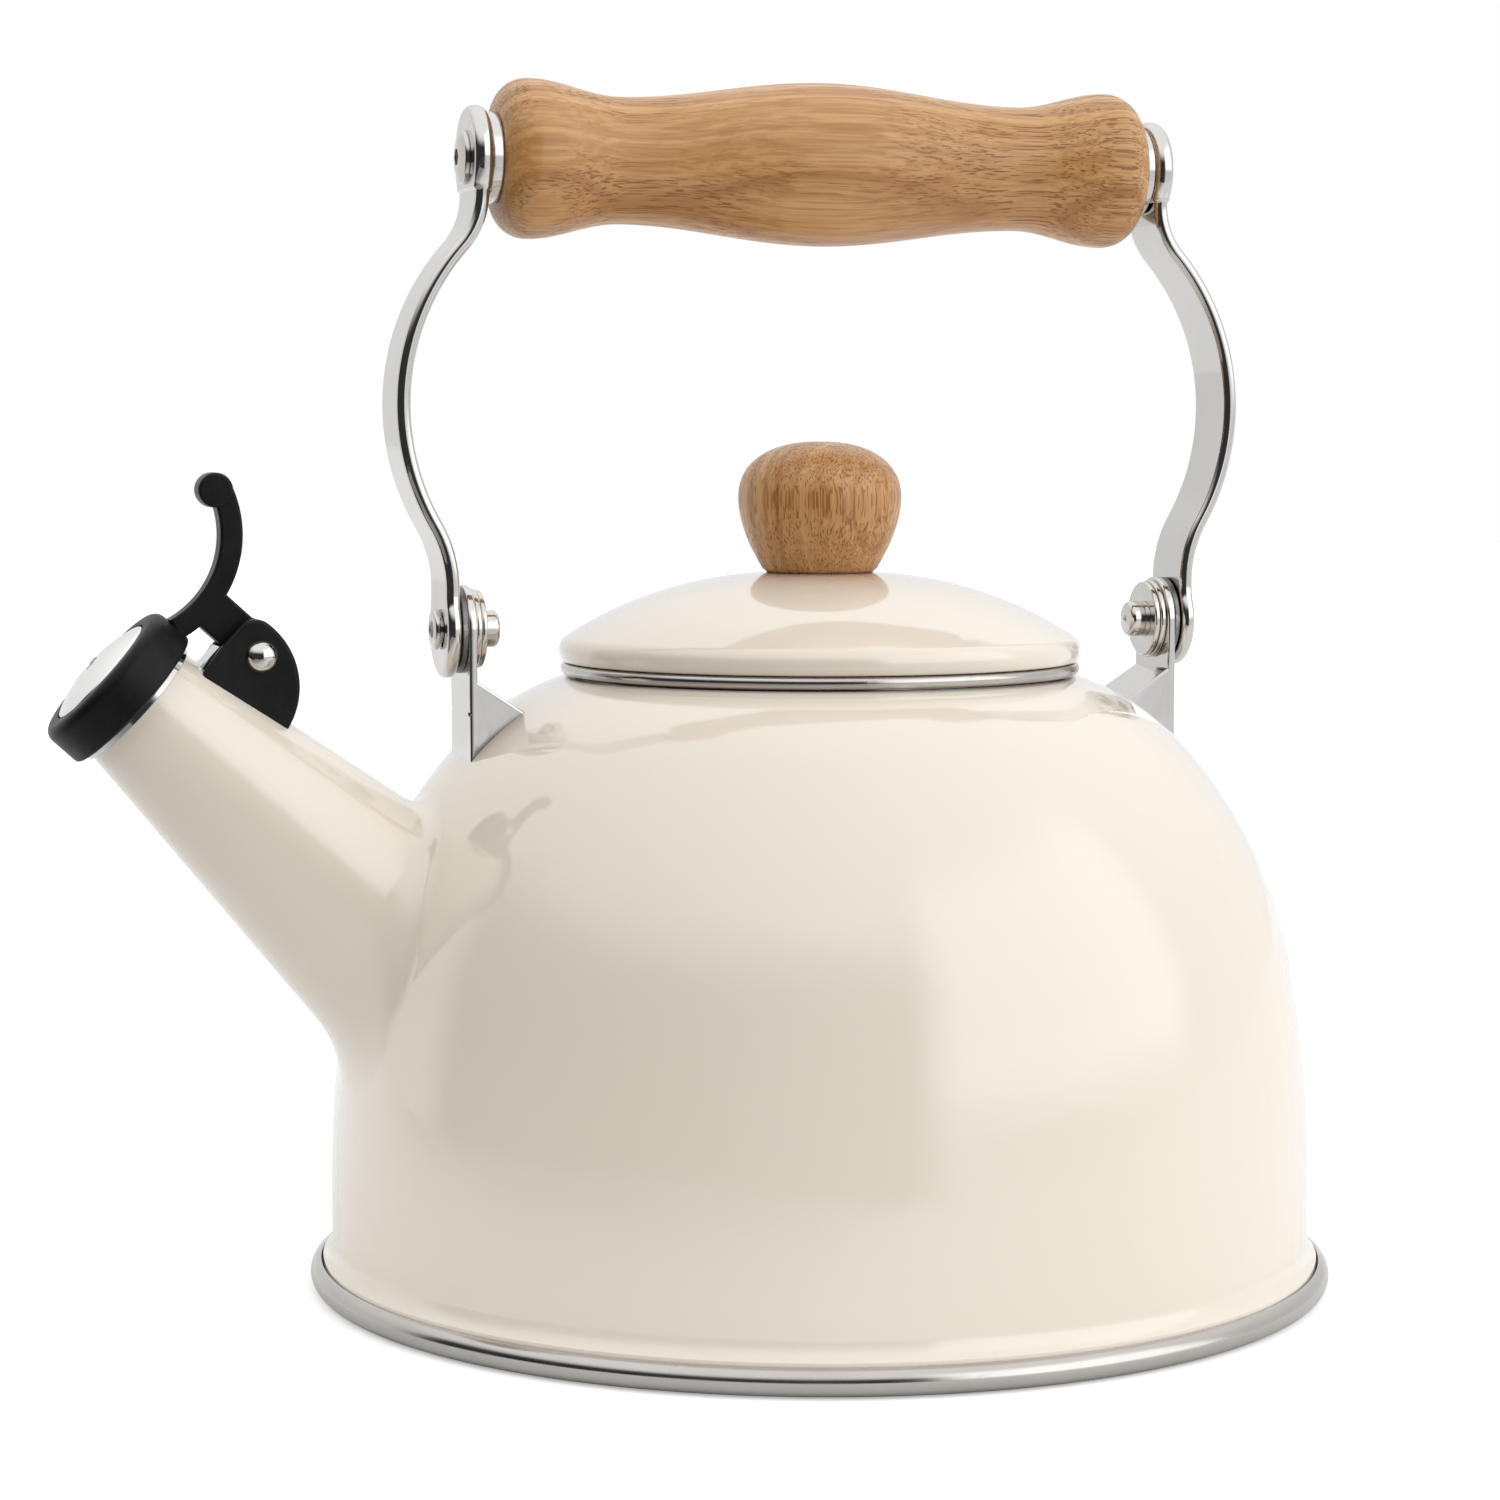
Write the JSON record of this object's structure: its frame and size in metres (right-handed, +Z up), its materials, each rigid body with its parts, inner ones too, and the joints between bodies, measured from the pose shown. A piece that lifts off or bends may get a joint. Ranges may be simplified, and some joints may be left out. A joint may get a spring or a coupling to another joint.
{
  "type": "stovetop whistling kettle",
  "caption": "Enamelled stovetop kettle with a domed body, slanted spout, sprung whistle cap, lift-off lid with a wooden knob and a swinging strap handle with a turned wooden grip.",
  "frame": {"origin": "centre of the base, on the plane the kettle stands on", "axes": "+Z up along the body's axis, the spout points to -X, the handle's pivots and grip lie along X, +Y is the far side when the spout is on the left"},
  "size_m": [0.2367, 0.19, 0.2212],
  "materials": {
    "cream_enamel": "glossy warm cream vitreous enamel",
    "polished_steel": "mirror polished stainless steel",
    "bright_steel": "bright plated steel",
    "dark_steel": "dark plated washer",
    "brass": "turned brass",
    "oiled_wood": "satin sealed light hardwood with short dark pores",
    "black_plastic": "matte moulded heat-resistant plastic",
    "silicone": "soft grey silicone"
  },
  "bodies": {
    "kettle": {"body_shell": "cream_enamel", "base_pan": "cream_enamel", "base_rim": "polished_steel", "spout": "cream_enamel", "spout_rim": "polished_steel", "front_bracket": "polished_steel", "rear_bracket": "polished_steel", "front_pivot_bolt": "bright_steel", "rear_pivot_bolt": "bright_steel", "front_spacer": "dark_steel", "rear_spacer": "dark_steel", "front_washers": "bright_steel", "rear_washers": "bright_steel", "front_cap_nut": "bright_steel", "rear_cap_nut": "bright_steel", "hinge_housing": "black_plastic", "hinge_lug": "polished_steel", "hinge_pin": "bright_steel", "hinge_spring": "bright_steel"},
    "handle": {"front_strap": "polished_steel", "rear_strap": "polished_steel", "grip": "oiled_wood", "front_ferrule": "polished_steel", "rear_ferrule": "polished_steel", "front_grip_screw": "bright_steel", "rear_grip_screw": "bright_steel", "front_grip_insert": "brass", "rear_grip_insert": "brass"},
    "whistle": {"whistle_cap": "black_plastic", "whistle_dome": "polished_steel", "whistle_inner_disc": "bright_steel", "whistle_seal": "silicone"},
    "lid": {"lid_shell": "cream_enamel", "lid_rim": "polished_steel", "lid_skirt": "bright_steel", "knob": "oiled_wood", "knob_screw": "bright_steel", "knob_washer": "bright_steel"}
  },
  "joints": [
    {"name": "handle_swing", "type": "hinge", "parent": "kettle", "child": "handle", "pos_m": [0, 0, 0.1221], "axis": [1, 0, 0], "range_deg": [-90, 90]},
    {"name": "whistle_flip", "type": "hinge", "parent": "kettle", "child": "whistle", "pos_m": [-0.10512, 0, 0.11808], "axis": [0, 1, 0], "range_deg": [0, 55], "stiffness_Nm_per_rad": 0.02, "springref_deg": -17.19},
    {"name": "lid_lift", "type": "slide", "parent": "kettle", "child": "lid", "axis": [0, 0, 1], "range_m": [0, 0.03]}
  ]
}
